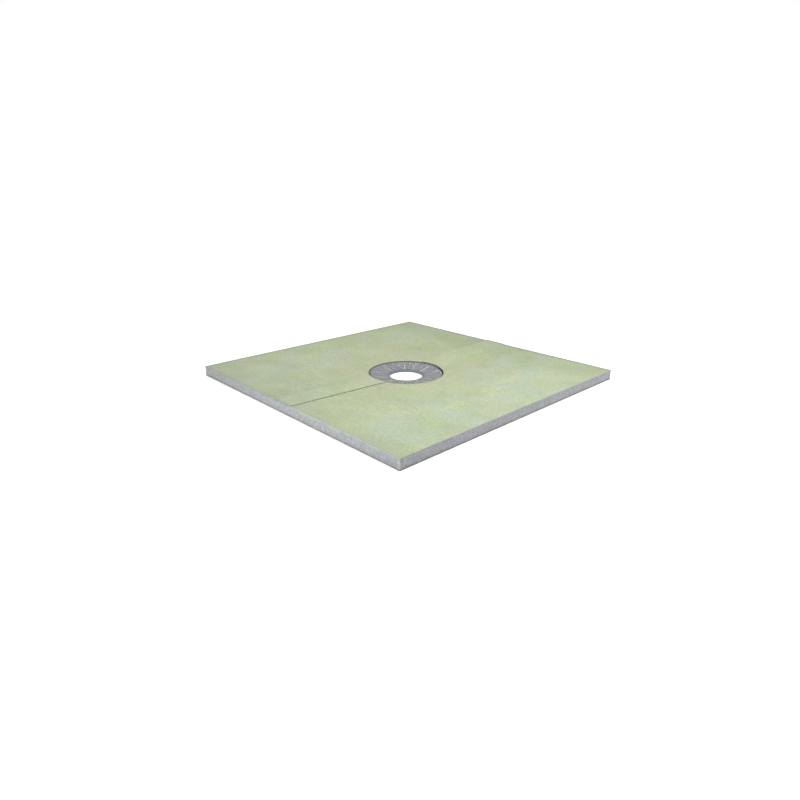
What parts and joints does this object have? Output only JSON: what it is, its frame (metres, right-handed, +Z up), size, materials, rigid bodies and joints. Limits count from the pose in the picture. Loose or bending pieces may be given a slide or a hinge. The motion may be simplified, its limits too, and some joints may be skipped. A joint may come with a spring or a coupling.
{
  "type": "tileable shower tray",
  "caption": "Square dished foam shower tray faced in lapped green tile-ready sheets, with a round drain recess and a through hole in its middle.",
  "frame": {"origin": "middle of the flat underside, on the axis of the drain hole", "axes": "+Z up through the thickness, X and Y along the sides; the lapped seam of the facing runs along X"},
  "size_m": [0.9, 0.9, 0.0318],
  "materials": {
    "foam": "sawn and milled rigid foam, grey, matt and finely granular",
    "facing": "matt sage green polymer-mortar facing, mottled"
  },
  "bodies": {
    "root": {"foam_board": "foam", "facing_sheet_back": "facing", "facing_sheet_front": "facing", "facing_sheet_underside": "facing"}
  },
  "joints": []
}
